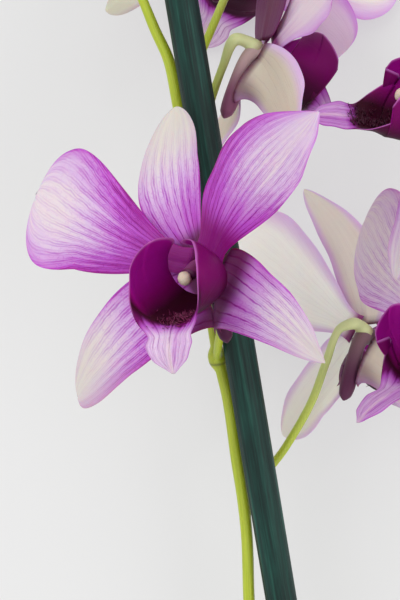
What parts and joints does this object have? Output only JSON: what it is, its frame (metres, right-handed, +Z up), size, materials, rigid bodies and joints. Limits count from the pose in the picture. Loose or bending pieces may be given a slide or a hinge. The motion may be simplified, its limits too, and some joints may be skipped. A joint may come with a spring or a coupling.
{
  "type": "dendrobium orchid stem",
  "caption": "Cut flowering orchid stem lying down: open purple and white flowers on arched stalks, closed buds at the tips, and a straight support stake alongside.",
  "frame": {"origin": "middle of the underside of the bounding box, on the surface the stem lies on", "axes": "+X across the stem, +Y along it from the cut end towards the buds, +Z up from the surface"},
  "size_m": [0.1478, 0.292, 0.1038],
  "materials": {
    "petal": "soft waxy petal, white to magenta with darker veins",
    "sepal": "soft waxy sepal, pale lilac with faint veins",
    "lip": "velvety, dark purple lobes and a lilac tip",
    "column": "waxy, dusky purple",
    "anther": "waxy cream",
    "stem": "smooth waxy green",
    "bud": "smooth waxy, green to mauve",
    "stake": "dyed dark blue-green, faint streaks along the grain"
  },
  "bodies": {
    "root": {"flower_front_dorsal_sepal": "sepal", "flower_front_lateral_sepal_left": "sepal", "flower_front_lateral_sepal_right": "sepal", "flower_front_petal_left": "petal", "flower_front_petal_right": "petal", "flower_front_lip": "lip", "flower_front_column": "column", "flower_front_anther_cap": "anther", "flower_upper_dorsal_sepal": "sepal", "flower_upper_lateral_sepal_left": "sepal", "flower_upper_lateral_sepal_right": "sepal", "flower_upper_petal_left": "petal", "flower_upper_petal_right": "petal", "flower_upper_lip": "lip", "flower_upper_column": "column", "flower_upper_anther_cap": "anther", "flower_top_dorsal_sepal": "sepal", "flower_top_lateral_sepal_left": "sepal", "flower_top_lateral_sepal_right": "sepal", "flower_top_petal_left": "petal", "flower_top_petal_right": "petal", "flower_top_lip": "lip", "flower_top_column": "column", "flower_top_anther_cap": "anther", "flower_middle_dorsal_sepal": "sepal", "flower_middle_lateral_sepal_left": "sepal", "flower_middle_lateral_sepal_right": "sepal", "flower_middle_petal_left": "petal", "flower_middle_petal_right": "petal", "flower_middle_lip": "lip", "flower_middle_column": "column", "flower_middle_anther_cap": "anther", "flower_side_low_dorsal_sepal": "sepal", "flower_side_low_lateral_sepal_left": "sepal", "flower_side_low_lateral_sepal_right": "sepal", "flower_side_low_petal_left": "petal", "flower_side_low_petal_right": "petal", "flower_side_low_lip": "lip", "flower_side_low_column": "column", "flower_side_low_anther_cap": "anther", "flower_side_high_dorsal_sepal": "sepal", "flower_side_high_lateral_sepal_left": "sepal", "flower_side_high_lateral_sepal_right": "sepal", "flower_side_high_petal_left": "petal", "flower_side_high_petal_right": "petal", "flower_side_high_lip": "lip", "flower_side_high_column": "column", "flower_side_high_anther_cap": "anther", "bud_rachis_left": "bud", "bud_rachis_right": "bud", "bud_rachis_tip": "bud", "bud_branch_side": "bud", "bud_branch_tip": "bud", "stem": "stem", "stake": "stake"}
  },
  "joints": []
}
